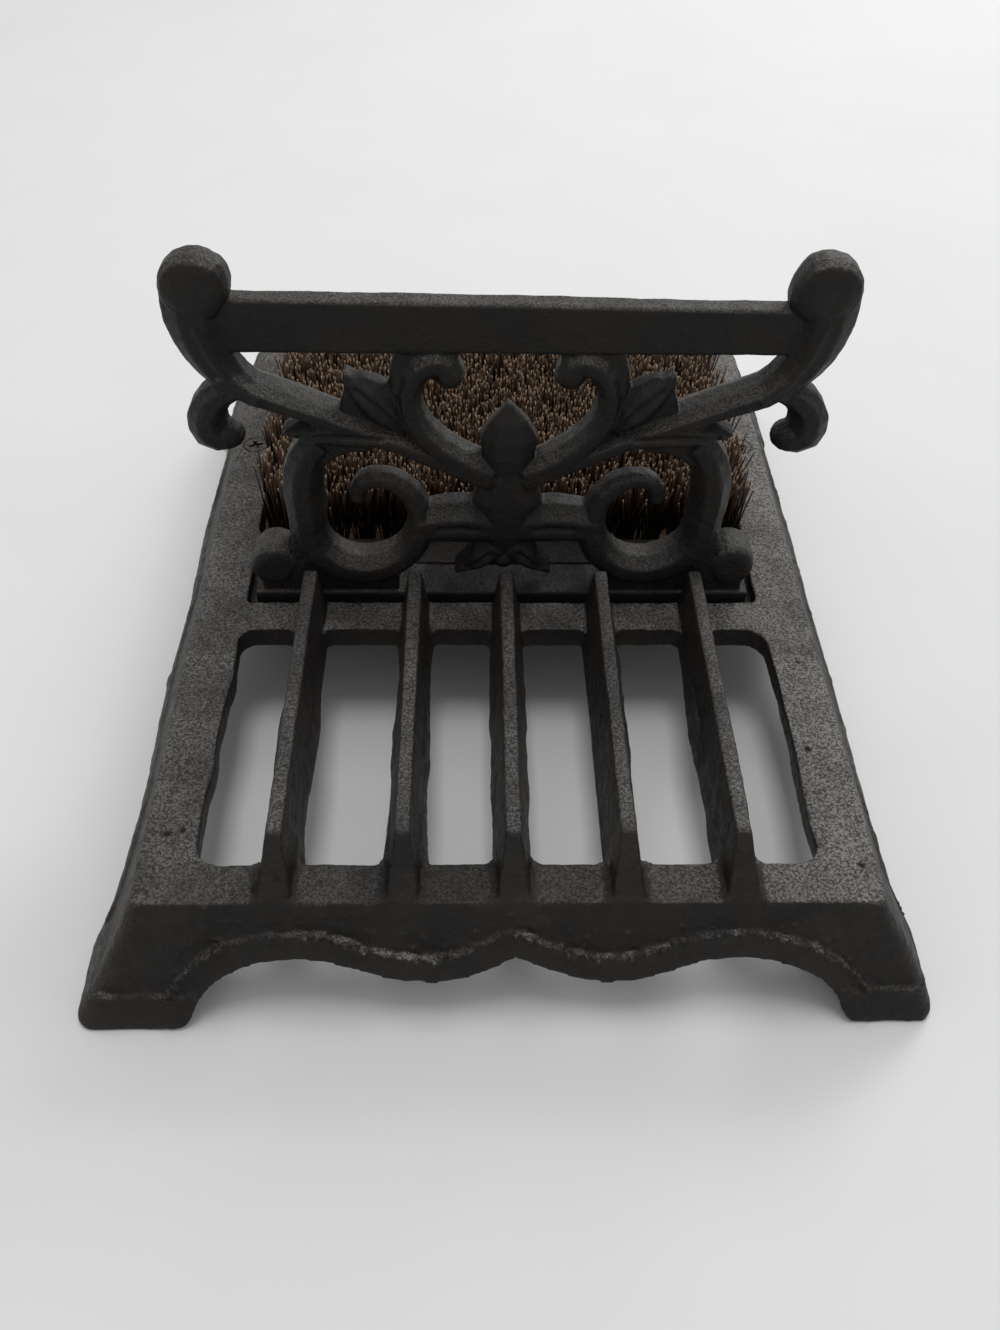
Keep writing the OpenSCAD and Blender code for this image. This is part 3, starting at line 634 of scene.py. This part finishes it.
FIBRE_LENGTH, TUFT_UNEVEN, FIBRE_UNEVEN = 28.2, 0.7, 1.5
STRIP_GAP, STRIP_THICK, STRIP_MIDDLE = 0.3 * MM, 2.9 * MM, 1.5 * MM
draw = random.Random(20)
for row in range(1, ROWS + 1):
    brush = bmesh.new()
    tone = brush.verts.layers.float.new("fibre_tone")
    height = brush.verts.layers.float.new("fibre_height")
    start = FIELD_FRONT + (row - 1) * ROW_PITCH
    for tuft in range(TUFTS):
        shift = 0.25 if row % 2 else -0.25
        middle_x = -FIELD_HALF + (tuft + 0.5 + shift + draw.uniform(-0.15, 0.15)) * 2 * FIELD_HALF / TUFTS
        middle_y = start + (0.5 + draw.uniform(-0.1, 0.1)) * ROW_PITCH
        cut = draw.gauss(0, TUFT_UNEVEN)
        for _ in range(FIBRES):
            out = TUFT_RADIUS * math.sqrt(draw.random())
            way = draw.uniform(0, 2 * math.pi)
            x = min(FIELD_HALF, max(-FIELD_HALF, middle_x + out * math.cos(way)))
            y = min(start + ROW_PITCH, max(start, middle_y + out * math.sin(way)))
            from_worn_corner = x + FIELD_HALF + 0.8 * (y - FIELD_FRONT)
            if from_worn_corner < draw.uniform(4, 11) * MM:
                continue
            place = Vector((x, y, ROOT_Z))
            fan = x / FIELD_HALF
            lean_x = (RIGHT_LEAN if fan > 0 else LEFT_LEAN) * fan ** 3
            lean_x += LEAN_DRIFT * noise.noise(place * DRIFT_FINE)
            lean_y = END_LEAN * ((y - FIELD_MIDDLE) / FIELD_DEEP) ** 3
            lean_y += LEAN_DRIFT * noise.noise(place * DRIFT_FINE + DRIFT_START)
            lean_x += TUFT_SPLAY * (x - middle_x) + draw.gauss(0, LEAN_SCATTER)
            lean_y += TUFT_SPLAY * (y - middle_y) + draw.gauss(0, LEAN_SCATTER)
            if abs(x) > FIELD_HALF - EDGE_BAND:
                lean_x = min(EDGE_LEAN_OUT, max(EDGE_LEAN_IN, lean_x))
            length = (FIBRE_LENGTH + cut + draw.gauss(0, FIBRE_UNEVEN)) * MM
            axis = Vector((lean_x, lean_y, 1)).normalized()
            turn = Vector((0, 0, 1)).rotation_difference(axis).to_matrix().to_4x4()
            spin = Matrix.Rotation(draw.uniform(0, 2 * math.pi), 4, "Z")
            size = Matrix.Diagonal((FIBRE_RADIUS, FIBRE_RADIUS, length, 1))
            count = len(brush.verts)
            brush.from_mesh(fibre_shapes[draw.randrange(len(fibre_shapes))])
            brush.verts.ensure_lookup_table()
            fresh = brush.verts[count:]
            shade = draw.random()
            for v in fresh:
                v[tone] = shade
                v[height] = v.co.z
            bmesh.ops.transform(brush, matrix=Matrix.Translation(place) @ turn @ spin @ size, verts=fresh)
    for f in brush.faces:
        f.smooth = True
    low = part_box(f"bristle_row_{row}")[0]
    strip = bmesh.ops.create_cube(brush, size=1)["verts"]
    bmesh.ops.scale(brush, vec=(2 * FIELD_HALF, ROW_PITCH - STRIP_GAP, STRIP_THICK), verts=strip)
    bmesh.ops.translate(brush, vec=(0, start + ROW_PITCH / 2, low.z + STRIP_MIDDLE), verts=strip)
    for f in {f for v in strip for f in v.link_faces}:
        f.material_index = 1
        f.smooth = False
    tuft_mesh = bpy.data.meshes.new(f"bristles_{row}")
    brush.to_mesh(tuft_mesh)
    brush.free()
    bristles = bpy.data.objects.new(f"bristles_{row}", tuft_mesh)
    bpy.context.collection.objects.link(bristles)
    bristles.data.materials.append(brown_fibre)
    bristles.data.materials.append(stained_board)
    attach(bristles, "root")
    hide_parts(f"bristle_row_{row}")
for shape in fibre_shapes:
    bpy.data.meshes.remove(shape)

# Brush screws: two countersunk screws with a cross recess, through the side rails into the ends of the board.
# Their heads were painted with the iron round them and have worn with it, and carry its painted glints.

screws = casting_from("brush_screws", "brush_screws_worn", 0.16 * MM)
sand_cast(screws, 2, 0, 0.02 * MM, 0.02 * MM)
mark_wear_and_painted_light(screws, base_wear_and_painted_light)
screws.data.materials.append(base_iron)
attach(screws, "root")
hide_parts("brush_screws")

# Stage: a pale plain floor with a very faint mottle, an oblong light above, a soft one behind, and the camera at
# the photograph's place.

FLOOR_HALF = 15
ground = bmesh.new()
bmesh.ops.create_grid(ground, x_segments=1, y_segments=1, size=FLOOR_HALF)
ground_mesh = bpy.data.meshes.new("floor")
ground.to_mesh(ground_mesh)
ground.free()
floor = bpy.data.objects.new("floor", ground_mesh)
bpy.context.collection.objects.link(floor)
pale, surface, add, wire = shader_start("pale_floor")
mottle = grain_noise(add, wire, 12, 3, 0.5)
wire(blend_colours(add, wire, mottle, (0.765, 0.775, 0.76), (0.815, 0.82, 0.81)), surface.inputs["Base Color"])
surface.inputs["Roughness"].default_value = 0.85
surface.inputs["Specular IOR Level"].default_value = 0.2
floor.data.materials.append(pale)

sky = bpy.data.worlds.new("studio_air")
sky.use_nodes = True
sky.node_tree.nodes["Background"].inputs["Color"].default_value = (0.985, 0.99, 1, 1)
sky.node_tree.nodes["Background"].inputs["Strength"].default_value = 0.5
bpy.context.scene.world = sky


def soft_light(name, place, aim, width, length, power):
    """A flat lamp at one place that looks at another, in metres and watts."""
    lamp = bpy.data.lights.new(name, "AREA")
    lamp.shape = "RECTANGLE"
    lamp.size = width
    lamp.size_y = length
    lamp.energy = power
    holder = bpy.data.objects.new(name, lamp)
    bpy.context.collection.objects.link(holder)
    holder.location = place
    holder.rotation_euler = (Vector(aim) - Vector(place)).to_track_quat("-Z", "Y").to_euler()


soft_light("light_above", place=(-0.04, 0.05, 1.5), aim=(-0.04, 0.05, 0), width=0.36, length=0.9, power=7)
soft_light("light_behind", place=(0.8, 1.3, 1.1), aim=(0, 0, 0.05), width=0.7, length=0.7, power=11.5)

CAMERA_PLACE = Vector((-9.043, -330.17, 301.85)) * MM
PITCH, YAW, ROLL = 0.7562, -0.0279, 0.0193
FOCAL_PIXELS, PHOTO_TALL, SENSOR_TALL = 1300, 1330, 36
ahead = Vector((-math.sin(YAW) * math.cos(PITCH), math.cos(YAW) * math.cos(PITCH), -math.sin(PITCH)))
level_right = Vector((math.cos(YAW), math.sin(YAW), 0))
level_down = Vector((math.sin(YAW) * math.sin(PITCH), -math.cos(YAW) * math.sin(PITCH), -math.cos(PITCH)))
right = math.cos(ROLL) * level_right - math.sin(ROLL) * level_down
down = math.sin(ROLL) * level_right + math.cos(ROLL) * level_down
lens = bpy.data.cameras.new("camera")
lens.sensor_fit = "VERTICAL"
lens.sensor_height = SENSOR_TALL
lens.lens = FOCAL_PIXELS / PHOTO_TALL * SENSOR_TALL
lens.clip_start = 0.01
lens.clip_end = 50
camera = bpy.data.objects.new("camera", lens)
bpy.context.collection.objects.link(camera)
camera.matrix_world = Matrix((
    (right.x, -down.x, -ahead.x, CAMERA_PLACE.x),
    (right.y, -down.y, -ahead.y, CAMERA_PLACE.y),
    (right.z, -down.z, -ahead.z, CAMERA_PLACE.z),
    (0, 0, 0, 1)))
bpy.context.scene.camera = camera
bpy.context.scene.view_settings.view_transform = "Standard"
